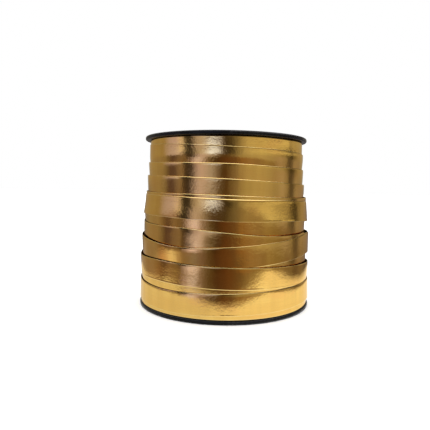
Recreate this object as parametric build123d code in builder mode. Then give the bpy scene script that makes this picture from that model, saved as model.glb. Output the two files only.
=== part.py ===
"""A spool of metallic curling ribbon.

Two moulded flanges press into the ends of a core tube, and one long ribbon is wound between them. The start
of the ribbon is taped to the core, and its free end is taped down on the outside of the winding.

Frame: the spool stands on its wider flange. +Z runs up the spindle bore, and the origin is where the bore's
axis meets the surface that the spool stands on. The front of the spool faces -Y. All sizes are in millimetres.
"""

import os

from build123d import *

os.makedirs("parts", exist_ok=True)

# ---- Driving dimensions ---------------------------------------------------------------------------------

overall_height = 88.0
lower_flange_radius = 45.1
upper_flange_radius = 43.5
ribbon_width = 10.0
film_thickness = 0.14
bore_radius = 10.0

# ---- Flanges --------------------------------------------------------------------------------------------

flange_thickness = 2.0
web_recess = 0.8  # how far the flange's plain web lies below its rim and hub faces
rim_width = 3.0
rim_round = 0.8
hub_radius = 17.0
edge_break = 0.3

collar_wall = 1.6  # the collar is the inner sleeve, which a spindle runs in
collar_length = 16.0
spigot_wall = 1.6  # the spigot is the outer sleeve, which presses into the core tube
spigot_length = 12.0
sleeve_chamfer = 0.6

face_rib_count = 8
face_rib_width = 1.2
face_rib_height = 0.5
ring_rib_radius = 30.0
sleeve_rib_count = 6
sleeve_rib_width = 1.2
rib_root = 0.3  # how far each rib's ends run into the walls that it joins

# ---- Core tube ------------------------------------------------------------------------------------------

core_radius = 17.0
core_wall = 2.0
core_bore_radius = core_radius - core_wall
core_chamfer = 0.4

winding_bottom = flange_thickness
winding_top = overall_height - flange_thickness

# ---- Ribbon ---------------------------------------------------------------------------------------------

# Each turn of the last layer, from the top down: the height of its upper edge as far as it shows, and the
# winding's radius just below that edge and just above the next one.
last_layer = [
    (winding_top, 40.4, 40.6),
    (80.8, 41.2, 41.0),
    (73.0, 41.3, 41.4),
    (66.0, 41.6, 41.7),
    (58.4, 42.2, 42.3),
    (56.8, 42.6, 43.7),
    (47.1, 43.3, 43.1),
    (41.3, 43.4, 43.4),
    (35.0, 43.7, 43.9),
    (26.0, 44.6, 45.0),
    (14.0, 45.3, 45.1),
    (3.6, 44.8, 44.8),
]
last_layer_depth = 1.2  # how deep the turns of the last layer reach below the winding's outside

# The free end lies at the back of the lowest turn. Angles are from +X, towards +Y.
free_end_from = 30.0
free_end_to = 115.0
free_end_bottom = 3.8
end_tape_width = 12.0
end_tape_thickness = 0.1
end_tape_on_ribbon = 14.0  # degrees of the tape on the ribbon's end, and then past it
end_tape_past_ribbon = 12.0

core_tape_height = 16.0
core_tape_angle = 80.0
core_tape_thickness = 0.1


def finish_part(built, name):
    """Labels a finished part and writes it as a node of its own."""
    built.part.label = name
    export_step(built.part, f"parts/{name}.step")


def arc_plane(angle):
    """The half-plane through the spool's axis at this angle: local x is the radius, local y is the height."""
    return Plane.XZ.rotated((0, 0, angle))


def make_flange(radius, face_height, inward):
    """A moulded flange with its outer face at face_height. inward is 1 if its sleeves point up, or -1."""
    # On the section plane, local x is the radius and local y is the depth below the outer face.
    section = Plane(origin=(0, 0, face_height), x_dir=(1, 0, 0), z_dir=(0, -inward, 0))
    web = Plane(origin=(0, 0, face_height + inward * web_recess), x_dir=(1, 0, 0), z_dir=(0, 0, inward))
    collar_radius = bore_radius + collar_wall
    spigot_inside = core_bore_radius - spigot_wall
    rim_inside = radius - rim_width
    collar_tip = flange_thickness + collar_length
    spigot_tip = flange_thickness + spigot_length

    with BuildPart() as flange:
        # The disc, with a rounded rim, a recessed web and a raised hub.
        with BuildSketch(section) as disc_section:
            with BuildLine():
                Polyline(
                    (bore_radius, 0),
                    (hub_radius, 0),
                    (hub_radius, web_recess),
                    (rim_inside, web_recess),
                    (rim_inside, 0),
                    (radius, 0),
                    (radius, flange_thickness),
                    (bore_radius, flange_thickness),
                    close=True,
                )
            make_face()
            outer_corners = disc_section.vertices().group_by(Axis.Y)[0].sort_by(Axis.X)
            chamfer(outer_corners[:-1], edge_break)
            rim_corners = disc_section.vertices().group_by(Axis.X)[-1]
            fillet(rim_corners, rim_round)
        revolve(axis=Axis.Z)

        # A ring rib and radial ribs stiffen the recessed web.
        with BuildSketch(web):
            Circle(ring_rib_radius + face_rib_width / 2)
            Circle(ring_rib_radius - face_rib_width / 2, mode=Mode.SUBTRACT)
            with PolarLocations((hub_radius + rim_inside) / 2, face_rib_count):
                Rectangle(rim_inside - hub_radius + 2 * rib_root, face_rib_width)
        extrude(amount=-face_rib_height)

        # The collar and the spigot, with short ribs between them.
        sleeves = [(bore_radius, collar_radius, collar_tip), (spigot_inside, core_bore_radius, spigot_tip)]
        with BuildSketch(section):
            for inside, outside, tip in sleeves:
                with BuildLine():
                    Polyline(
                        (inside, web_recess),
                        (outside, web_recess),
                        (outside, tip - sleeve_chamfer),
                        (outside - sleeve_chamfer, tip),
                        (inside, tip),
                        close=True,
                    )
                make_face()
        revolve(axis=Axis.Z)
        with BuildSketch(web):
            with PolarLocations((collar_radius + spigot_inside) / 2, sleeve_rib_count):
                Rectangle(spigot_inside - collar_radius + 2 * rib_root, sleeve_rib_width)
        extrude(amount=spigot_tip - web_recess - sleeve_chamfer)
    return flange


# ---- The spool ------------------------------------------------------------------------------------------

lower_flange = make_flange(lower_flange_radius, 0, 1)
finish_part(lower_flange, "lower_flange")

upper_flange = make_flange(upper_flange_radius, overall_height, -1)
finish_part(upper_flange, "upper_flange")

with BuildPart() as core_tube:
    with BuildSketch(Plane.XY.offset(winding_bottom)):
        Circle(core_radius)
        Circle(core_bore_radius, mode=Mode.SUBTRACT)
    extrude(amount=winding_top - winding_bottom)
    bore_ends = core_tube.edges().filter_by(
        lambda edge: edge.geom_type == GeomType.CIRCLE and edge.radius < core_radius - edge_break
    )
    chamfer(bore_ends, core_chamfer)
finish_part(core_tube, "core_tube")

# ---- The ribbon -----------------------------------------------------------------------------------------

# The winding's outside, from the top down: two points for each turn of the last layer.
lower_edges = [height for height, _, _ in last_layer[1:]] + [winding_bottom]
winding_outside = []
for (upper_edge, radius_above, radius_below), lower_edge in zip(last_layer, lower_edges):
    winding_outside.append((radius_above, upper_edge))
    winding_outside.append((radius_below, lower_edge))

# The layers under it keep its general shape, without its steps: one point in the middle of each turn.
middles = [
    ((r_above + r_below) / 2 - last_layer_depth, (upper_edge + lower_edge) / 2)
    for (upper_edge, r_above, r_below), lower_edge in zip(last_layer, lower_edges)
]
under_last_layer = [(middles[0][0], winding_top), *middles[1:-1], (middles[-1][0], winding_bottom)]

with BuildPart() as core_tape:
    with BuildSketch(arc_plane(-90 - core_tape_angle / 2)):
        with Locations((core_radius + core_tape_thickness / 2, overall_height / 2)):
            Rectangle(core_tape_thickness, core_tape_height)
    revolve(axis=Axis.Z, revolution_arc=core_tape_angle)
finish_part(core_tape, "core_tape")

with BuildPart() as ribbon_winding:
    with BuildSketch(Plane.XZ):
        with BuildLine():
            Polyline(
                (core_radius, winding_top),
                *under_last_layer,
                (core_radius, winding_bottom),
                close=True,
            )
        make_face()
    revolve(axis=Axis.Z)
    # The layers nearest the core lie over its tape.
    with BuildSketch(arc_plane(-90 - core_tape_angle / 2)):
        with Locations((core_radius + core_tape_thickness / 2, overall_height / 2)):
            Rectangle(core_tape_thickness, core_tape_height)
    revolve(axis=Axis.Z, revolution_arc=core_tape_angle, mode=Mode.SUBTRACT)
finish_part(ribbon_winding, "ribbon_winding")

with BuildPart() as ribbon_last_layer:
    with BuildSketch(Plane.XZ):
        with BuildLine():
            Polyline(*winding_outside, *reversed(under_last_layer), close=True)
        make_face()
    revolve(axis=Axis.Z)
finish_part(ribbon_last_layer, "ribbon_last_layer")

# The free end and its tape lie on the lowest full turn, which is very nearly a cylinder there.
lowest_turn = last_layer[-2]
end_radius = max(lowest_turn[1:])
free_end_outside = end_radius + film_thickness
free_end_middle = free_end_bottom + ribbon_width / 2

with BuildPart() as ribbon_free_end:
    with BuildSketch(arc_plane(free_end_from)):
        with Locations((end_radius + film_thickness / 2, free_end_middle)):
            Rectangle(film_thickness, ribbon_width)
    revolve(axis=Axis.Z, revolution_arc=free_end_to - free_end_from)
finish_part(ribbon_free_end, "ribbon_free_end")

with BuildPart() as end_tape:
    with BuildSketch(arc_plane(free_end_to - end_tape_on_ribbon)):
        with Locations((free_end_outside + end_tape_thickness / 2, free_end_middle)):
            Rectangle(end_tape_thickness, end_tape_width)
    revolve(axis=Axis.Z, revolution_arc=end_tape_on_ribbon)
    with BuildSketch(arc_plane(free_end_to)):
        with Locations((end_radius + (film_thickness + end_tape_thickness) / 2, free_end_middle)):
            Rectangle(film_thickness + end_tape_thickness, end_tape_width)
    revolve(axis=Axis.Z, revolution_arc=end_tape_past_ribbon)
finish_part(end_tape, "end_tape")
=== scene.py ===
"""The looks of a spool of metallic curling ribbon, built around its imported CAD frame.

The ribbon is one long film, laid turn by turn. An earlier pass runs down the spool in nearly level turns,
and the last pass runs down over it in the turns that show. Each turn lies on whatever is under it, so edges,
lips and gaps come from the winding itself.

Azimuths are in degrees from the front of the spool (-Y), and positive towards its right (+X). Sizes and
heights of the ribbon are in millimetres, and meshes are made in metres. A place in turns counts along a
pass: 0 is the front of its first turn, 1 the front of its second, and so on.
"""

import math

import bpy
import numpy as np
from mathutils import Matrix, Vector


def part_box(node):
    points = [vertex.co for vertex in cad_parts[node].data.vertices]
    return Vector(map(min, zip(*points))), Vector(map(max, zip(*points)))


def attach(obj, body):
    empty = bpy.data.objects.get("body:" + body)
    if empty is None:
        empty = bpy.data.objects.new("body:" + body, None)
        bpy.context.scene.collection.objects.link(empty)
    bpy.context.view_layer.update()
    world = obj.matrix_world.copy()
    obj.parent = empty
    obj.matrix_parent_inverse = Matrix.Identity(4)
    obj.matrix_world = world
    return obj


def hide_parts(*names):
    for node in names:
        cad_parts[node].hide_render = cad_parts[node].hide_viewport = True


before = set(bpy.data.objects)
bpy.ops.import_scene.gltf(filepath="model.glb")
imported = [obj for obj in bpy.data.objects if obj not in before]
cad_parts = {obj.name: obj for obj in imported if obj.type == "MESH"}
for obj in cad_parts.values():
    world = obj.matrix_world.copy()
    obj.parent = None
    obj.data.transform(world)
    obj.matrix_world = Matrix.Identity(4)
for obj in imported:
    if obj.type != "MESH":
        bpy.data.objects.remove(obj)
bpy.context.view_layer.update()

MM = 0.001

# ---- Sizes from the frame ---------------------------------------------------------------------------------

SPOOL_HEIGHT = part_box("upper_flange")[1].z / MM
WINDING_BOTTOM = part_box("ribbon_winding")[0].z / MM
WINDING_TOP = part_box("ribbon_winding")[1].z / MM
CORE_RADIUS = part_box("core_tube")[1].x / MM

# ---- The ribbon -------------------------------------------------------------------------------------------

RIBBON_WIDTH = 10.0
FILM = 0.2  # the film's thickness
AIR_GAP = 0.03  # between a turn and what it lies on
UPPER_FLANGE_GAP = 0.3  # least gaps between the ribbon's edges and the flanges
LOWER_FLANGE_GAP = 0.2
HIGHEST_EDGE = WINDING_TOP - UPPER_FLANGE_GAP  # limits of the ribbon's upper edge
LOWEST_EDGE = WINDING_BOTTOM + LOWER_FLANGE_GAP + RIBBON_WIDTH

STEP = 3  # degrees between the ribbon's cross-sections
STEPS_PER_TURN = 360 // STEP
FIELD_STEP = 0.25  # height between the points where the winding's radius is kept
LEVELS = np.arange(0, SPOOL_HEIGHT, FIELD_STEP)

# Under the last pass lies an earlier one, which shows where the last one leaves gaps. Each of its turns is
# level at the front and the sides, and steps down to the next one at the back. For each turn: height of the
# upper edge, lean. A lean is in degrees, and positive where the lower edge stands out.
EARLIER_PASS = [
    (85.7, 0.0), (76.5, 0.0), (67.5, 0.5), (58.4, 5.0), (48.4, -3.0), (39.0, 1.5), (30.0, 0.5),
    (21.0, -1.5), (12.3, 0.0),
]
LEVEL_PART = 0.42  # of a turn, each way from the front
BEYOND_FRONT = 0.7  # of a turn, by which the pass goes on before its first front and past its last one
TURN_BACK = 3.0  # how far its end rises, where the ribbon turns back up under the last pass

# The last pass, turn by turn from the top: (azimuth, height of the upper edge, lean, fold). The fold is how
# much further the ribbon leans, in degrees, below the lower edge of the turn above, which it lies over.
LAST_PASS = [
    [(-60, 85.7, -0.5, 0), (60, 85.6, -0.5, 0)],
    [(-80, 83.7, 0.2, -7), (-27, 81.9, 0.3, -9), (5, 80.8, 0.3, -9), (48, 79.9, 0.2, -8),
     (100, 78.9, 0.0, -4)],
    [(-62, 74.0, -4.5, 0.5), (-9, 73.0, -4.5, 0.5), (5, 73.0, -4.0, 0.5), (52, 71.7, -3.0, 0.5),
     (100, 71.0, -3.0, 0)],
    [(-58, 67.2, -3.8, 1), (5, 65.9, -3.8, 1), (37, 64.7, -3.6, 1), (67, 64.0, -3.3, 1),
     (110, 63.0, -2.0, 0), (170, 61.6, 5.0, 0), (215, 60.6, 4.0, 0)],
    [(-62, 58.9, -2.0, 0), (5, 58.3, -2.0, 0), (62, 56.9, -1.5, 0), (120, 57.2, 3.0, 0),
     (180, 57.5, 5.0, 0), (240, 57.8, 5.0, 0)],
    [(-90, 58.0, 6.0, 0), (-42, 57.7, 5.4, 0), (5, 56.5, 5.4, 0), (23, 56.3, 5.4, 0), (35, 56.2, 4.0, 0),
     (50, 56.0, 4.2, 0), (78, 54.8, 3.2, 0), (180, 49.0, 0.0, 0)],
    [(-65, 43.2, -1.0, 0), (-24, 43.1, -1.0, 0), (6, 41.1, -2.2, 0), (29, 39.4, -3.2, 0),
     (44, 39.6, -3.0, 0)],
    [(-73, 36.7, -3.5, 0), (-46, 34.7, -5.8, 0), (-34, 34.0, -5.8, 0), (-24, 33.7, -4.5, 0),
     (-10, 34.3, -4.3, 0), (6, 35.1, -3.0, 0), (26, 36.1, -0.8, 0), (40, 36.9, -0.6, 0),
     (62, 38.7, -1.0, 0), (75, 39.3, -1.0, 0), (180, 33.0, 0.0, 0)],
    [(-80, 26.2, -3.5, 0), (-50, 27.0, -3.0, 0), (-36, 26.7, -1.8, 0), (-22, 26.4, -1.5, 0),
     (6, 25.8, -2.0, 0), (30, 25.2, -4.0, 0), (50, 24.8, -3.7, 0), (68, 24.2, -3.2, 0),
     (100, 22.7, -1.0, 0)],
    [(-73, 13.9, -0.6, 0), (-31, 13.4, -0.3, 0), (-10, 13.8, 1.9, 0), (6, 14.1, 2.1, 0), (24, 14.3, 0.4, 0),
     (49, 14.6, 0.0, 0), (78, 15.0, 0.0, 0), (130, 13.9, 0.0, 0), (205, 13.8, 0.0, 0)],
]
LAST_PASS_START = -0.5  # place in turns
FREE_END = 205.0  # azimuth of the ribbon's cut end, on the lowest turn

# How far the last pass's film bows outwards between its edges, by place in turns. It is hollow where a turn
# flares out over the one above it.
BOW = [(4.6, 0.0), (4.75, -0.12), (5.02, -0.12), (5.1, -0.04), (5.35, 0.0)]

# Radius of the winding under these two passes, at some heights.
UNDER_PROFILE = [
    (2, 44.1), (12, 43.9), (20, 42.5), (30, 42.3), (38, 42.5), (47.5, 43.0), (48.8, 41.0), (57, 40.0),
    (62, 39.6), (75, 39.9), (86, 39.6),
]

# Each pass's random unevenness. For each kind: its wavelength in cross-sections, and its size.
EARLIER_PASS_SEED = 11
LAST_PASS_SEED = 9
UNEVEN_HEIGHT = (25, 0.06)
UNEVEN_LEAN = (21, 0.3)
FINE_UNEVEN_LEAN = (9, 0.06)
UNEVEN_BOW = (31, 0.03)
UNEVEN_RADIUS = (15, 0.008)

# Over how many cross-sections the listed values blend into each other.
EARLIER_PASS_BLEND = 11
HEIGHT_BLEND = 15
LEAN_BLEND = 7


def smoothed(values, window):
    """A moving average over this many samples, which keeps the ends in place."""
    window += 1 - window % 2
    kernel = np.hanning(window + 2)[1:-1]
    padded = np.pad(values, window // 2, mode="edge")
    return np.convolve(padded, kernel / kernel.sum(), mode="valid")


def wobble(random, count, wavelength, amplitude):
    """Smooth random variation along the ribbon. The wavelength is in samples."""
    rough = smoothed(random.standard_normal(count), wavelength)
    return rough / rough.std() * amplitude


def plan_earlier_pass(random):
    """The earlier pass by cross-section: place in turns, height of the upper edge, lean, fold and bow."""
    turns = np.arange(-BEYOND_FRONT, len(EARLIER_PASS) - 1 + BEYOND_FRONT, 1 / STEPS_PER_TURN)
    places = [turn + side for turn in range(len(EARLIER_PASS)) for side in (-LEVEL_PART, LEVEL_PART)]
    columns = np.repeat(EARLIER_PASS, 2, axis=0).T
    upper_edge, lean = (smoothed(np.interp(turns, places, column), EARLIER_PASS_BLEND) for column in columns)
    upper_edge += wobble(random, len(turns), *UNEVEN_HEIGHT)
    lean += wobble(random, len(turns), *UNEVEN_LEAN)
    upper_edge = np.clip(upper_edge, LOWEST_EDGE, HIGHEST_EDGE)
    upper_edge += np.interp(turns, [places[-1], turns[-1]], [0, TURN_BACK])
    return turns, upper_edge, lean, 0 * turns, 0 * turns


def plan_last_pass(random):
    """The same for the last pass, from its places that are listed turn by turn."""
    turns = np.arange(LAST_PASS_START, len(LAST_PASS) - 1 + FREE_END / 360, 1 / STEPS_PER_TURN)
    places = [turn + point[0] / 360 for turn, points in enumerate(LAST_PASS) for point in points]
    columns = np.array([point for points in LAST_PASS for point in points], float).T
    upper_edge = smoothed(np.interp(turns, places, columns[1]), HEIGHT_BLEND)
    lean, fold = (smoothed(np.interp(turns, places, column), LEAN_BLEND) for column in columns[2:])
    upper_edge += wobble(random, len(turns), *UNEVEN_HEIGHT)
    lean += wobble(random, len(turns), *UNEVEN_LEAN) + wobble(random, len(turns), *FINE_UNEVEN_LEAN)
    bow = np.interp(turns, *zip(*BOW))
    return turns, np.clip(upper_edge, LOWEST_EDGE, HIGHEST_EDGE), lean, fold, bow


# Points across the film, as shares of its width from the upper edge, closer together where it rounds off.
ACROSS = np.array([0, 0.015, 0.035, 0.06, 0.12, 0.24, 0.36, 0.48, 0.6, 0.72, 0.86, 0.97, 1])
FOLD_START = 1.0  # how far over the lower edge of the turn above it the film starts to bend
FOLD_SOFTNESS = 0.5
FOLD_PLACES = (1, 9)  # nearest and furthest that a fold comes to the film's upper edge
SPAN = 6  # cross-sections, each way, over which the stiff film spans a hollow


def section_offsets(lean, fold, fold_depth, bow):
    """How far the ribbon stands out across its width, from its upper edge down, relative to that edge."""
    depth = ACROSS * RIBBON_WIDTH
    below_fold = np.logaddexp(0, (depth - fold_depth) / FOLD_SOFTNESS) * FOLD_SOFTNESS
    below_fold -= below_fold[0]
    bowed = bow * 4 * ACROSS * (1 - ACROSS)
    return math.tan(math.radians(lean)) * depth + math.tan(math.radians(fold)) * below_fold + bowed


def all_section_offsets(upper_edge, lean, fold, bow):
    """The same for every cross-section of a pass."""
    offsets = []
    for i in range(len(upper_edge)):
        turn_above = upper_edge[max(0, i - STEPS_PER_TURN)]
        fold_depth = RIBBON_WIDTH - (turn_above - upper_edge[i]) - FOLD_START
        offsets.append(section_offsets(lean[i], fold[i], np.clip(fold_depth, *FOLD_PLACES), bow[i]))
    return offsets


def clearing_radius(row, heights, offsets):
    """Smallest radius of a section's upper edge at which it lies outside everything laid there so far."""
    under = (LEVELS > heights[-1] - FIELD_STEP) & (LEVELS < heights[0] + FIELD_STEP)
    offset_there = np.interp(-LEVELS[under], -heights, offsets)
    return (row[under] - offset_there).max() + AIR_GAP


def lay_film(plan, field, random):
    """Lays one pass over the field, which holds the winding's outer radius so far by azimuth and height.

    Returns the pass's cross-sections: azimuths, and for each the heights and inner radii across the film.
    """
    turns, upper_edge, lean, fold, bow = plan
    count = len(turns)
    rows = np.round(turns * STEPS_PER_TURN).astype(int) % STEPS_PER_TURN
    bow = bow + wobble(random, count, *UNEVEN_BOW)
    uneven_radius = wobble(random, count, *UNEVEN_RADIUS)
    offsets = all_section_offsets(upper_edge, lean, fold, bow)
    heights = upper_edge[:, None] - ACROSS * RIBBON_WIDTH

    needed = []
    radii = []
    for i in range(count):
        while len(needed) < min(i + 2 * SPAN + 1, count):
            ahead = len(needed)
            needed.append(clearing_radius(field[rows[ahead]], heights[ahead], offsets[ahead]))
        spanned = range(max(0, i - SPAN), min(i + SPAN + 1, len(needed)))
        highest = [max(needed[max(0, j - SPAN):j + SPAN + 1]) for j in spanned]
        section = np.mean(highest) + uneven_radius[i] + offsets[i]
        radii.append(section)
        covered = (LEVELS >= heights[i][-1]) & (LEVELS <= heights[i][0])
        outside = np.interp(-LEVELS[covered], -heights[i], section + FILM)
        row = field[rows[i]]
        row[covered] = np.maximum(row[covered], outside)
    return turns * 360, heights, np.array(radii)


def wind_ribbon():
    """Winds both passes. Returns their cross-sections, and the field of the winding's outer radius."""
    field = np.tile(np.interp(LEVELS, *zip(*UNDER_PROFILE)), (STEPS_PER_TURN, 1))
    random = np.random.default_rng(EARLIER_PASS_SEED)
    earlier = lay_film(plan_earlier_pass(random), field, random)
    random = np.random.default_rng(LAST_PASS_SEED)
    last = lay_film(plan_last_pass(random), field, random)
    return earlier, last, field


earlier_pass, last_pass, outer_field = wind_ribbon()

# ---- Meshes -----------------------------------------------------------------------------------------------


def at(azimuth, radius, height):
    """The point at this azimuth, radius and height, in metres."""
    angle = np.radians(azimuth)
    return np.stack([radius * np.sin(angle), -radius * np.cos(angle), height + 0 * angle], axis=-1) * MM


def new_object(name, points, faces, material):
    """A smooth-shaded mesh object."""
    mesh = bpy.data.meshes.new(name)
    mesh.from_pydata(np.asarray(points).tolist(), [], faces)
    mesh.shade_smooth()
    mesh.materials.append(material)
    obj = bpy.data.objects.new(name, mesh)
    bpy.context.scene.collection.objects.link(obj)
    return obj


def band_faces(rings, around, closed_path=False):
    """Faces between neighbouring rings of points, where each ring has this many points around it."""
    faces = []
    for i in range(rings - 1 + closed_path):
        a = i * around
        b = (i + 1) % rings * around
        for j in range(around):
            k = (j + 1) % around
            faces.append((a + j, b + j, b + k, a + k))
    return faces


def end_faces(rings, around):
    """The two end faces of an open tube of such rings."""
    last = (rings - 1) * around
    return [tuple(range(around)), tuple(range(last, last + around))[::-1]]


def keep_film_places(obj, along, across):
    """Stores each point's place on the flat film, in metres, which the film's material reads."""
    attribute = obj.data.attributes.new("film", "FLOAT_VECTOR", "POINT")
    places = np.stack([along * MM, across * MM, 0 * along], axis=-1)
    attribute.data.foreach_set("vector", places.ravel())


EDGE_TURN = np.radians([45, 90, 135])  # where the points of a cut edge's half round lie

# The film's outer face rounds off to its upper edge in two curves: the share and the width of each. How far
# it rounds off in all goes by place in turns.
SHOULDERS = [(0.7, 0.22), (0.3, 0.8)]
SHOULDER_DROP = [(-0.5, 0.03), (1.3, 0.04), (1.8, 0.16), (8.2, 0.16), (8.6, 0.18), (10, 0.18)]


def film_ring(azimuth, heights, radii):
    """A ring round the film's cross-section: outer face down, lower edge, inner face up, upper edge."""
    middle = radii + FILM / 2
    half = FILM / 2
    shoulder = sum(share * np.exp((heights - heights[0]) / width) for share, width in SHOULDERS)
    outer = middle + half - np.interp(azimuth / 360, *zip(*SHOULDER_DROP)) * shoulder
    upper = (outer[0] + radii[0]) / 2
    upper_half = (outer[0] - radii[0]) / 2
    edge_out = half * np.cos(EDGE_TURN)
    edge_off = half * np.sin(EDGE_TURN)
    upper_out = -upper_half * np.cos(EDGE_TURN)
    upper_off = upper_half * np.sin(EDGE_TURN)
    ring_radii = np.concatenate([outer, middle[-1] + edge_out, radii[::-1], upper + upper_out])
    ring_heights = np.concatenate([heights, heights[-1] - edge_off, heights[::-1], heights[0] + upper_off])
    return at(np.full(len(ring_radii), azimuth), ring_radii, ring_heights)


def build_film(name, sections, material):
    """One pass of the ribbon as a closed band of film."""
    azimuths, heights, radii = sections
    rings = [film_ring(*section) for section in zip(azimuths, heights, radii)]
    around = len(rings[0])
    faces = band_faces(len(rings), around) + end_faces(len(rings), around)
    obj = new_object(name, np.concatenate(rings), faces, material)
    along = np.cumsum(np.radians(STEP) * radii.mean(axis=1))
    edge = np.ones(len(EDGE_TURN))
    across = np.concatenate([ACROSS, edge, ACROSS[::-1], 0 * edge]) * RIBBON_WIDTH
    keep_film_places(obj, np.repeat(along, around), np.tile(across, len(rings)))
    return obj


LAYERS_CLEARANCE = 0.15  # between the layers below and the spool
LAYERS_TURN = 7.0  # height of each of their turns
LAYERS_LIP = 0.12  # how far each of them steps over the next one


def layers_outline():
    """Radii and heights of the layers under the two passes, with a shallow step at each turn."""
    heights, radii = zip(*UNDER_PROFILE)
    bottom = WINDING_BOTTOM + LAYERS_CLEARANCE
    top = WINDING_TOP - LAYERS_CLEARANCE
    inside = CORE_RADIUS + LAYERS_CLEARANCE
    outline = [(inside, bottom)]
    start = bottom
    while start < top:
        end = min(start + LAYERS_TURN, top)
        lower, upper = np.interp([start, end], heights, radii) - 2 * LAYERS_LIP
        outline += [(lower + LAYERS_LIP, start), (upper + LAYERS_LIP, end - LAYERS_LIP), (upper, end)]
        start = end
    outline.append((inside, top))
    return np.transpose(outline)


def build_layers_below(material):
    """Every layer under the two passes, as one body."""
    radii, heights = layers_outline()
    around = len(radii)
    azimuths = np.arange(0, 360, STEP)
    rings = [at(np.full(around, azimuth), radii, heights) for azimuth in azimuths]
    faces = band_faces(len(rings), around, closed_path=True)
    obj = new_object("ribbon_layers", np.concatenate(rings), faces, material)
    along = np.radians(azimuths) * CORE_RADIUS
    keep_film_places(obj, np.repeat(along, around), np.tile(heights, len(rings)))
    return obj


TAPE_THICKNESS = 0.08
TAPE_LIFT = 0.06  # between the tape and what it lies on
TAPE_SPACING = 0.5  # between the points of the tape's surface
TAPE_BOTTOM_INSET = 0.2  # how far it keeps inside its CAD box
TAPE_TOP_INSET = 0.1
TAPE_BLEND = 5  # points over which it spans the steps under it


def outer_radius(azimuth, height):
    """The wound ribbon's outer radius around this place, which a piece lying on it has to clear."""
    column = int(round(azimuth / STEP)) % STEPS_PER_TURN
    level = int(round(height / FIELD_STEP))
    reach = int(TAPE_SPACING / FIELD_STEP) + 1
    columns = [column, (column + 1) % STEPS_PER_TURN]
    return outer_field[columns, max(0, level - reach):level + reach + 1].max()


def build_end_tape(material):
    """The clear tape over the ribbon's cut end: a thin sheet that follows the surface under it."""
    low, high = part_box("end_tape")
    heights = np.arange(low.z / MM + TAPE_BOTTOM_INSET, high.z / MM - TAPE_TOP_INSET, TAPE_SPACING)
    from_azimuth = 180 + np.degrees(np.arctan2(-high.x, high.y))
    to_azimuth = 180 + np.degrees(np.arctan2(-low.x, high.y))
    turn = np.degrees(TAPE_SPACING / high.y * MM)
    azimuths = np.arange(from_azimuth, to_azimuth, turn)

    surface = np.array([[outer_radius(azimuth, height) for height in heights] for azimuth in azimuths])
    for axis in (0, 1):
        surface = np.apply_along_axis(smoothed, axis, surface, TAPE_BLEND)
    rings = []
    for azimuth, radii in zip(azimuths, surface + TAPE_LIFT):
        ring_radii = np.concatenate([radii + TAPE_THICKNESS, radii[::-1]])
        ring_heights = np.concatenate([heights, heights[::-1]])
        rings.append(at(np.full(len(ring_radii), azimuth), ring_radii, ring_heights))
    faces = band_faces(len(rings), len(rings[0])) + end_faces(len(rings), len(rings[0]))
    return new_object("end_tape_strip", np.concatenate(rings), faces, material)


# ---- Material nodes ---------------------------------------------------------------------------------------


def new_material(name, **inputs):
    """A material, its node tree and its shader, with these values set on the shader's own sockets."""
    material = bpy.data.materials.new(name)
    material.use_nodes = True
    shader = material.node_tree.nodes["Principled BSDF"]
    for key, value in inputs.items():
        shader.inputs[key.replace("_", " ")].default_value = value
    return material, material.node_tree, shader


def add_noise(tree, place, scale, detail=3.0, roughness=0.5):
    """Noise over this place, between 0 and 1. The scale is in features per metre along each axis."""
    stretch = tree.nodes.new("ShaderNodeVectorMath")
    stretch.operation = "MULTIPLY"
    stretch.inputs[1].default_value = scale
    tree.links.new(place, stretch.inputs[0])
    noise = tree.nodes.new("ShaderNodeTexNoise")
    noise.inputs["Scale"].default_value = 1.0
    noise.inputs["Detail"].default_value = detail
    noise.inputs["Roughness"].default_value = roughness
    tree.links.new(stretch.outputs[0], noise.inputs["Vector"])
    return noise.outputs["Fac"]


def remap(tree, value, low, high, to_low, to_high):
    """The value, taken from one range to another and kept inside it."""
    node = tree.nodes.new("ShaderNodeMapRange")
    node.interpolation_type = "SMOOTHSTEP"
    for socket, number in zip(("From Min", "From Max", "To Min", "To Max"), (low, high, to_low, to_high)):
        node.inputs[socket].default_value = number
    tree.links.new(value, node.inputs["Value"])
    return node.outputs["Result"]


def combine(tree, operation, a, b=0.0):
    """A math node over two sockets or numbers."""
    node = tree.nodes.new("ShaderNodeMath")
    node.operation = operation
    for socket, value in zip(node.inputs, (a, b)):
        if isinstance(value, (int, float)):
            socket.default_value = value
        else:
            tree.links.new(value, socket)
    return node.outputs[0]


def mix_colors(tree, factor, a, b):
    """Colour a where the factor is 0, and colour b where it is 1. Each is a socket or three numbers."""
    node = tree.nodes.new("ShaderNodeMix")
    node.data_type = "RGBA"
    tree.links.new(factor, node.inputs["Factor"])
    for socket, color in zip(("A", "B"), (a, b)):
        if isinstance(color, tuple):
            node.inputs[socket].default_value = (*color, 1)
        else:
            tree.links.new(color, node.inputs[socket])
    return node.outputs["Result"]


def add_bump(tree, height, distance, normal=None):
    """A bump of this height map, whose full range is this many metres."""
    bump = tree.nodes.new("ShaderNodeBump")
    bump.inputs["Distance"].default_value = distance
    tree.links.new(height, bump.inputs["Height"])
    if normal:
        tree.links.new(normal, bump.inputs["Normal"])
    return bump.outputs["Normal"]


def split_xyz(tree, vector):
    """The X, Y and Z of a vector."""
    split = tree.nodes.new("ShaderNodeSeparateXYZ")
    tree.links.new(vector, split.inputs[0])
    return split.outputs["X"], split.outputs["Y"], split.outputs["Z"]


# ---- Metallised film --------------------------------------------------------------------------------------

GOLD = (0.85, 0.56, 0.155)
DEEP_GOLD = (0.80, 0.50, 0.13)
PRESSED_GOLD = (0.74, 0.46, 0.12)
RED_GOLD = (0.82, 0.46, 0.13)
BARE_EDGE = (0.90, 0.68, 0.28)
EDGE_LINE = RIBBON_WIDTH / 2  # the cut edges' distance from the film's middle line


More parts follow.
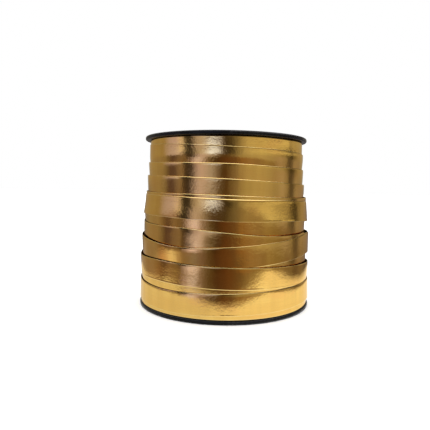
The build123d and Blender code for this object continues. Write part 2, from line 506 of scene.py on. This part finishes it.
def film_color(tree, place, streaks, from_middle):
    """Slow changes of the lacquer along the ribbon, fine streaks, and paler metal along the cut edges."""
    slow_tone = combine(tree, "MULTIPLY", add_noise(tree, place, (25, 180, 1)), 0.65)
    tone = combine(tree, "ADD", slow_tone, combine(tree, "MULTIPLY", streaks, 0.35))
    color = mix_colors(tree, remap(tree, tone, 0.35, 0.65, 0, 1), GOLD, DEEP_GOLD)
    press_marks = remap(tree, add_noise(tree, place, (210, 22, 1), detail=2), 0.35, 0.65, 0, 0.55)
    color = mix_colors(tree, press_marks, color, PRESSED_GOLD)
    warm_patches = remap(tree, add_noise(tree, place, (55, 90, 1), detail=2), 0.5, 0.7, 0, 0.5)
    color = mix_colors(tree, warm_patches, color, RED_GOLD)
    edge = remap(tree, from_middle, (EDGE_LINE - 0.28) * MM, (EDGE_LINE - 0.05) * MM, 0, 1)
    worn = remap(tree, add_noise(tree, place, (260, 60, 1)), 0.38, 0.6, 0.7, 1)
    return mix_colors(tree, combine(tree, "MULTIPLY", edge, worn), color, BARE_EDGE)


def film_roughness(tree, place, streaks):
    """Satin patches, lengthwise streaks and a few scuffs."""
    patches = remap(tree, add_noise(tree, place, (60, 350, 1)), 0.3, 0.7, 0.05, 0.09)
    streaked = remap(tree, streaks, 0.35, 0.7, 0, 0.03)
    scuffs = remap(tree, add_noise(tree, place, (420, 1500, 1), detail=5), 0.6, 0.75, 0, 0.07)
    return combine(tree, "ADD", combine(tree, "ADD", patches, streaked), scuffs)


def film_normal(tree, place, from_middle):
    """Crinkles from the winding's pull, a fine grain, and the lines of the drawn film."""
    waves = add_noise(tree, place, (130, 70, 1), detail=2)
    crinkle = add_noise(tree, place, (1100, 800, 1), detail=3, roughness=0.6)
    crinkled = remap(tree, add_noise(tree, place, (32, 45, 1)), 0.4, 0.6, 0.2, 1)
    taut_edge = remap(tree, from_middle, (EDGE_LINE - 0.9) * MM, (EDGE_LINE - 0.3) * MM, 1, 0.1)
    crinkled = combine(tree, "MULTIPLY", crinkled, taut_edge)
    lines = add_noise(tree, place, (12, 900, 1), detail=3)
    normal = add_bump(tree, waves, 0.1 * MM)
    normal = add_bump(tree, combine(tree, "MULTIPLY", crinkle, crinkled), 0.05 * MM, normal)
    return add_bump(tree, lines, 0.003 * MM, normal)


def film_material():
    """Gold lacquer on bright metal under a clear gloss layer, drawn and scuffed lengthwise."""
    lacquer_tint = (0.94, 0.84, 0.64, 1)
    material, tree, shader = new_material(
        "gold_film", Metallic=1.0, Specular_Tint=lacquer_tint, Coat_Weight=0.12
    )
    film = tree.nodes.new("ShaderNodeAttribute")
    film.attribute_name = "film"
    place = film.outputs["Vector"]
    _, across, _ = split_xyz(tree, place)
    from_middle = combine(tree, "ABSOLUTE", combine(tree, "SUBTRACT", across, EDGE_LINE * MM))
    streaks = add_noise(tree, place, (30, 2600, 1), detail=4)
    tree.links.new(film_color(tree, place, streaks, from_middle), shader.inputs["Base Color"])
    tree.links.new(film_roughness(tree, place, streaks), shader.inputs["Roughness"])
    tree.links.new(film_normal(tree, place, from_middle), shader.inputs["Normal"])
    return material


# ---- Plastic and tape -------------------------------------------------------------------------------------

RIM_WEAR = (41.8, 43.4)  # radii between which the flanges' wear sets in


def spool_wear(tree, place):
    """Rubs and fine scratches near the flanges' rims."""
    x, y, _ = split_xyz(tree, place)
    squares = combine(tree, "ADD", combine(tree, "POWER", x, 2), combine(tree, "POWER", y, 2))
    rim = remap(tree, combine(tree, "SQRT", squares), RIM_WEAR[0] * MM, RIM_WEAR[1] * MM, 0, 1)
    rubs = remap(tree, add_noise(tree, place, (160, 160, 500), detail=5), 0.48, 0.7, 0, 1)
    scratches = remap(tree, add_noise(tree, place, (90, 90, 1800), detail=3), 0.62, 0.7, 0, 0.5)
    marks = combine(tree, "MAXIMUM", combine(tree, "MULTIPLY", rubs, 0.5), scratches)
    return combine(tree, "MULTIPLY", rim, marks)


def spool_material():
    """Black moulded plastic: glossy, with a faint moulded texture, fine scratches and rubbed rims."""
    black = (0.0025, 0.0025, 0.0025)
    rubbed = (0.009, 0.009, 0.009)
    material, tree, shader = new_material("black_plastic", Specular_IOR_Level=0.12)
    place = tree.nodes.new("ShaderNodeTexCoord").outputs["Object"]
    wear = spool_wear(tree, place)
    tree.links.new(mix_colors(tree, wear, black, rubbed), shader.inputs["Base Color"])

    cloudy = remap(tree, add_noise(tree, place, (120, 120, 120)), 0.3, 0.7, 0.2, 0.34)
    roughness = combine(tree, "ADD", cloudy, combine(tree, "MULTIPLY", wear, 0.25))
    tree.links.new(roughness, shader.inputs["Roughness"])

    texture = add_noise(tree, place, (2200, 2200, 2200), detail=2)
    ripple = add_noise(tree, place, (90, 90, 200), detail=2)
    normal = add_bump(tree, ripple, 0.04 * MM)
    normal = add_bump(tree, texture, 0.001 * MM, normal)
    tree.links.new(normal, shader.inputs["Normal"])
    return material


def tape_material():
    """Clear office tape: a thin, faintly milky film with small wrinkles and specks of trapped air."""
    milky = (0.62, 0.60, 0.52)
    air = (0.80, 0.79, 0.74)
    material, tree, shader = new_material("clear_tape", Alpha=0.07)
    place = tree.nodes.new("ShaderNodeTexCoord").outputs["Object"]
    specks = remap(tree, add_noise(tree, place, (900, 900, 900), detail=4), 0.56, 0.68, 0, 1)
    tree.links.new(mix_colors(tree, specks, milky, air), shader.inputs["Base Color"])
    tree.links.new(remap(tree, specks, 0, 1, 0.12, 0.3), shader.inputs["Roughness"])
    wrinkles = add_noise(tree, place, (150, 150, 600), detail=3)
    tree.links.new(add_bump(tree, wrinkles, 0.1 * MM), shader.inputs["Normal"])
    return material


def build_pieces():
    """Makes the ribbon and the tape, and gives every piece its material."""
    film = film_material()
    spool_plastic = spool_material()
    clear_tape = tape_material()

    earlier = build_film("ribbon_earlier_pass", earlier_pass, film)
    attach(earlier, "root")

    ribbon = build_film("ribbon", last_pass, film)
    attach(ribbon, "root")
    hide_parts("ribbon_last_layer", "ribbon_free_end")

    layers = build_layers_below(film)
    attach(layers, "root")
    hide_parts("ribbon_winding")

    end_tape = build_end_tape(clear_tape)
    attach(end_tape, "root")
    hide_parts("end_tape")

    for name, material in (("lower_flange", spool_plastic), ("upper_flange", spool_plastic),
                           ("core_tube", spool_plastic), ("core_tape", clear_tape)):
        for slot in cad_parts[name].material_slots:
            slot.material = material


# ---- Studio -----------------------------------------------------------------------------------------------

# The studio around the spool as its gloss mirrors it, at six heights. Each row gives how bright its screens,
# gaps and windows are, by azimuth. They are set so that the film shows the photograph's bright and
# dark bands.
DIM_WARM = (0.46, 0.42, 0.32)
SHADE = (0.36, 0.32, 0.28)
DARK = (0.05, 0.045, 0.05)
BROWN_DARK = (0.10, 0.06, 0.03)
PINK = (0.62, 0.57, 1.05)
COOL_SCREEN = (0.60, 0.56, 1.10)
WINDOW = (1.05, 1.36, 3.40)

LOWEST = [
    (-180, DIM_WARM), (-130, (0.37, 0.32, 0.38)), (-110, (0.50, 0.46, 0.44)), (-97, (0.60, 0.41, 0.36)),
    (-90, (0.68, 0.50, 0.42)), (-84, (0.90, 0.80, 0.75)), (-74, (0.88, 0.82, 0.78)),
    (-66, (0.54, 0.44, 0.38)), (-57, (0.30, 0.23, 0.20)), (-40, (0.27, 0.24, 0.30)),
    (-30, (0.24, 0.18, 0.22)), (-20, (0.13, 0.09, 0.06)), (-10, (0.10, 0.05, 0.03)),
    (7, (0.16, 0.08, 0.04)), (20, (0.17, 0.12, 0.08)), (33, (0.29, 0.23, 0.16)), (48, (0.42, 0.37, 0.27)),
    (60, (0.53, 0.49, 0.36)), (73, (0.45, 0.38, 0.29)), (86, (0.28, 0.23, 0.20)), (100, (0.22, 0.18, 0.14)),
    (111, (0.14, 0.10, 0.08)), (124, (0.24, 0.21, 0.22)), (140, (0.20, 0.20, 0.30)), (180, DIM_WARM),
]
LOW = [
    (-180, (0.18, 0.16, 0.16)), (-145, (0.44, 0.40, 0.42)), (-125, (0.34, 0.28, 0.27)),
    (-110, (0.34, 0.28, 0.26)), (-98, (0.28, 0.20, 0.15)), (-86, (0.14, 0.09, 0.08)),
    (-76, (0.28, 0.21, 0.19)), (-66, (0.22, 0.16, 0.12)), (-59, (0.18, 0.13, 0.12)),
    (-52, (0.54, 0.49, 0.95)), (-46, (0.84, 0.82, 1.70)), (-39, (0.82, 0.82, 1.70)),
    (-33, (0.50, 0.46, 0.80)), (-27, (0.25, 0.21, 0.26)), (-20, (0.13, 0.10, 0.07)),
    (-12, (0.07, 0.04, 0.02)), (0, (0.13, 0.06, 0.03)), (13, (0.17, 0.10, 0.06)), (22, (0.30, 0.18, 0.09)),
    (33, (0.35, 0.24, 0.16)), (48, (0.31, 0.23, 0.16)), (60, (0.34, 0.27, 0.17)), (74, (0.27, 0.21, 0.12)),
    (98, (0.24, 0.19, 0.16)), (112, (0.17, 0.13, 0.11)), (124, (0.25, 0.20, 0.16)),
    (140, (0.18, 0.15, 0.14)), (180, (0.18, 0.16, 0.16)),
]
MIDDLE = [
    (-180, (0.26, 0.24, 0.22)), (-155, (0.28, 0.25, 0.22)), (-130, SHADE), (-104, (0.33, 0.28, 0.23)),
    (-96, (0.24, 0.20, 0.17)), (-88, (0.12, 0.08, 0.09)), (-80, (0.13, 0.09, 0.12)),
    (-73, (0.23, 0.18, 0.20)), (-65, (0.28, 0.22, 0.22)), (-60, (0.08, 0.06, 0.06)),
    (-51, (0.05, 0.04, 0.05)), (-45, (0.30, 0.27, 0.50)), (-40, (0.57, 0.52, 1.00)), (-33, PINK),
    (-26, (0.53, 0.51, 0.90)), (-20, (0.46, 0.46, 0.78)), (-13, (0.25, 0.22, 0.30)),
    (-7, (0.12, 0.09, 0.07)), (0, BROWN_DARK), (14, (0.27, 0.23, 0.19)), (21, (0.40, 0.36, 0.28)),
    (30, (0.48, 0.44, 0.34)), (50, (0.53, 0.48, 0.38)), (73, (0.42, 0.38, 0.32)), (88, (0.46, 0.41, 0.42)),
    (97, (0.34, 0.30, 0.26)), (103, (0.12, 0.10, 0.09)), (111, (0.14, 0.12, 0.12)),
    (120, (0.40, 0.35, 0.34)), (142, (0.34, 0.29, 0.28)), (165, (0.22, 0.20, 0.19)),
    (180, (0.26, 0.24, 0.22)),
]

# The next two rows share what lies to the left of the dark gap, and the window beside the front.
LEFT_SCREENS = [
    (-180, DIM_WARM), (-130, (0.41, 0.36, 0.28)), (-104, (0.38, 0.32, 0.24)), (-92, (0.53, 0.49, 0.90)),
    (-79, COOL_SCREEN),
]
FRONT_WINDOW = [
    (-51, DARK), (-45, (0.34, 0.32, 0.45)), (-36, (0.62, 0.62, 0.95)), (-27, (0.84, 0.98, 2.10)),
    (-20, WINDOW), (-10, (0.80, 1.00, 2.40)), (-4, (0.20, 0.19, 0.30)), (0, (0.05, 0.04, 0.03)),
    (7, (0.06, 0.05, 0.04)), (14, (0.20, 0.18, 0.15)),
]
HIGH = [
    *LEFT_SCREENS, (-72, (0.74, 0.72, 1.25)), (-66, (0.40, 0.36, 0.50)), (-62, DARK),
    *FRONT_WINDOW, (21, (0.38, 0.35, 0.29)), (29, (0.54, 0.50, 0.41)), (50, (0.62, 0.59, 0.44)),
    (78, (0.46, 0.43, 0.33)), (90, (0.36, 0.33, 0.25)), (98, (0.22, 0.19, 0.14)), (104, (0.08, 0.07, 0.05)),
    (112, (0.08, 0.07, 0.05)), (119, (0.25, 0.22, 0.17)), (132, (0.41, 0.37, 0.29)), (180, DIM_WARM),
]
UPPER = [
    *LEFT_SCREENS, (-72, (0.80, 0.78, 1.20)), (-67, (0.92, 0.89, 1.20)), (-63, (0.42, 0.40, 0.50)),
    (-59, DARK),
    *FRONT_WINDOW, (21, (0.40, 0.37, 0.30)), (29, (0.60, 0.56, 0.45)), (50, (0.72, 0.68, 0.52)),
    (92, (0.77, 0.73, 0.55)), (102, (0.74, 0.70, 0.52)), (106, (0.48, 0.44, 0.34)),
    (111, (0.48, 0.44, 0.34)), (116, (0.52, 0.48, 0.37)), (180, DIM_WARM),
]
HIGHER = [
    (-180, DIM_WARM), (-135, (0.42, 0.39, 0.34)), (-105, (0.36, 0.33, 0.26)), (-92, (0.32, 0.26, 0.30)),
    (-77, (0.40, 0.31, 0.44)), (-69, (0.24, 0.18, 0.20)), (-64, DARK), (-54, DARK),
    (-49, (0.40, 0.37, 0.66)), (-42, (0.58, 0.54, 0.95)), (-35, (0.48, 0.44, 0.70)),
    (-26, (0.24, 0.21, 0.26)), (-17, (0.10, 0.07, 0.06)), (0, (0.08, 0.06, 0.04)), (13, (0.20, 0.18, 0.14)),
    (30, (0.36, 0.31, 0.22)), (53, (0.33, 0.29, 0.21)), (78, (0.18, 0.15, 0.12)), (90, (0.14, 0.11, 0.08)),
    (97, (0.07, 0.06, 0.04)), (112, (0.07, 0.05, 0.04)), (121, (0.15, 0.13, 0.12)),
    (140, (0.16, 0.14, 0.14)), (180, DIM_WARM),
]

# Each row takes over from the one below it between two heights, as the sine of the elevation.
ROWS_ABOVE_LOWEST = [
    (LOW, -0.29, -0.24), (MIDDLE, -0.18, -0.13), (HIGH, -0.05, 0.02), (UPPER, 0.056, 0.068),
    (HIGHER, 0.10, 0.14),
]
OVERHEAD = (2.6, 2.6, 2.7)
OVERHEAD_FROM = 0.35
OVERHEAD_FULL = 0.75
EVEN_LIGHT = (1.6, 1.6, 1.6)  # what matt surfaces get from all sides, so that the pale floor stays clean
WHITE = (1.0, 1.0, 1.0)

FLOOR_HALF = 3.0  # metres, like all sizes of the stage
PATCH_HALF = 0.1
PATCH_HEIGHT = 0.00005  # just above the floor


def build_plane(name, half, height, material):
    """A flat square of the stage, around the spool's axis."""
    corners = [(x * half, y * half, height) for x, y in ((-1, -1), (1, -1), (1, 1), (-1, 1))]
    mesh = bpy.data.meshes.new(name)
    mesh.from_pydata(corners, [], [(0, 1, 2, 3)])
    mesh.materials.append(material)
    plane = bpy.data.objects.new(name, mesh)
    bpy.context.scene.collection.objects.link(plane)
    return plane


def build_floor():
    """The pale floor. The spool's gloss mirrors the bright patch and the studio in its place."""
    material, _, _ = new_material("pale_floor", Base_Color=(0.9, 0.9, 0.9, 1), Roughness=0.7)
    floor = build_plane("floor", FLOOR_HALF, 0, material)
    floor.visible_glossy = False


def patch_shape(tree, place):
    """1 inside the bright patch and 0 outside it. Its left side is the plane's own edge."""
    right, front, back = 0.095, -0.086, 0.095
    fade = 0.012  # how far its edges are soft, inwards and outwards
    corner = -0.1156  # the front left corner is cut along y = corner + corner_slope * x
    corner_slope = -0.66
    corner_fade = 0.014
    x, y, _ = split_xyz(tree, place)
    beyond_corner = combine(tree, "SUBTRACT", y, combine(tree, "MULTIPLY", x, corner_slope))
    inside = remap(tree, x, right - fade, right + fade, 1, 0)
    for edge in (
        remap(tree, y, front - fade, front + fade, 0, 1),
        remap(tree, y, back - fade, back + fade, 1, 0),
        remap(tree, beyond_corner, corner - corner_fade, corner + corner_fade, 0, 1),
    ):
        inside = combine(tree, "MULTIPLY", inside, edge)
    return inside


def patch_material():
    """Light of the bright patch, a little stronger on its right, and clear around it."""
    left_light = 0.86
    right_light = 1.12
    change = 0.03  # the strength changes between this far left and right of the axis
    material = bpy.data.materials.new("bright_patch")
    material.use_nodes = True
    tree = material.node_tree
    tree.nodes.clear()
    place = tree.nodes.new("ShaderNodeTexCoord").outputs["Object"]
    x, _, _ = split_xyz(tree, place)
    light = tree.nodes.new("ShaderNodeEmission")
    light.inputs["Color"].default_value = (1.0, 0.97, 0.92, 1)
    tree.links.new(remap(tree, x, -change, change, left_light, right_light), light.inputs["Strength"])
    clear = tree.nodes.new("ShaderNodeBsdfTransparent")
    mix = tree.nodes.new("ShaderNodeMixShader")
    tree.links.new(patch_shape(tree, place), mix.inputs["Fac"])
    tree.links.new(clear.outputs[0], mix.inputs[1])
    tree.links.new(light.outputs[0], mix.inputs[2])
    output = tree.nodes.new("ShaderNodeOutputMaterial")
    tree.links.new(mix.outputs[0], output.inputs["Surface"])
    return material


def build_bright_patch():
    """The lit floor around the spool, seen only in the spool's gloss."""
    patch = build_plane("bright_patch", PATCH_HALF, PATCH_HEIGHT, patch_material())
    patch.visible_camera = False
    patch.visible_diffuse = False
    patch.visible_shadow = False


def studio_band(tree, share, stops):
    """The studio's colours around one height, by azimuth."""
    node = tree.nodes.new("ShaderNodeValToRGB")
    elements = node.color_ramp.elements
    while len(elements) < len(stops):
        elements.new(0.5)
    # Moving a stop can reorder them, so the colours wait until all are in place.
    for element, (azimuth, _) in zip(elements, stops):
        element.position = (azimuth + 180) / 360
    for element, (_, color) in zip(elements, stops):
        element.color = (*color, 1)
    tree.links.new(share, node.inputs["Fac"])
    return node.outputs["Color"]


def build_world():
    """Plain white to the camera, even light to matt surfaces, and the studio to everything glossy."""
    world = bpy.data.worlds.new("studio")
    bpy.context.scene.world = world
    world.use_nodes = True
    tree = world.node_tree
    tree.nodes.clear()
    x, y, height = split_xyz(tree, tree.nodes.new("ShaderNodeTexCoord").outputs["Generated"])
    azimuth = combine(tree, "ARCTAN2", x, combine(tree, "MULTIPLY", y, -1))
    share = combine(tree, "ADD", combine(tree, "DIVIDE", azimuth, 2 * math.pi), 0.5)

    color = studio_band(tree, share, LOWEST)
    for row, start, full in ROWS_ABOVE_LOWEST:
        band = studio_band(tree, share, row)
        color = mix_colors(tree, remap(tree, height, start, full, 0, 1), color, band)
    color = mix_colors(tree, remap(tree, height, OVERHEAD_FROM, OVERHEAD_FULL, 0, 1), color, OVERHEAD)

    path = tree.nodes.new("ShaderNodeLightPath")
    color = mix_colors(tree, path.outputs["Is Diffuse Ray"], color, EVEN_LIGHT)
    color = mix_colors(tree, path.outputs["Is Camera Ray"], color, WHITE)
    background = tree.nodes.new("ShaderNodeBackground")
    tree.links.new(color, background.inputs["Color"])
    output = tree.nodes.new("ShaderNodeOutputWorld")
    tree.links.new(background.outputs[0], output.inputs["Surface"])


# ---- Camera -----------------------------------------------------------------------------------------------

# The photograph's viewing angle and framing: level, and a little above the spool's middle. Distance and
# height are in metres, the roll is in degrees, and the lens and sensor are in millimetres.
CAMERA_DISTANCE = 0.241
CAMERA_HEIGHT = 0.0632
CAMERA_ROLL = -0.93
LENS = 36.69
SENSOR_WIDTH = 36
SHIFT_X = -0.0244
SHIFT_Y = -0.0707


def build_camera():
    """The camera in front of the spool."""
    camera = bpy.data.objects.new("camera", bpy.data.cameras.new("camera"))
    bpy.context.scene.collection.objects.link(camera)
    camera.location = (0, -CAMERA_DISTANCE, CAMERA_HEIGHT)
    camera.rotation_euler = (math.radians(90), math.radians(CAMERA_ROLL), 0)
    camera.data.lens = LENS
    camera.data.sensor_width = SENSOR_WIDTH
    camera.data.shift_x = SHIFT_X
    camera.data.shift_y = SHIFT_Y
    camera.data.clip_start = 0.01
    bpy.context.scene.camera = camera


build_pieces()
build_floor()
build_bright_patch()
build_world()
build_camera()
bpy.context.scene.view_settings.view_transform = "Standard"
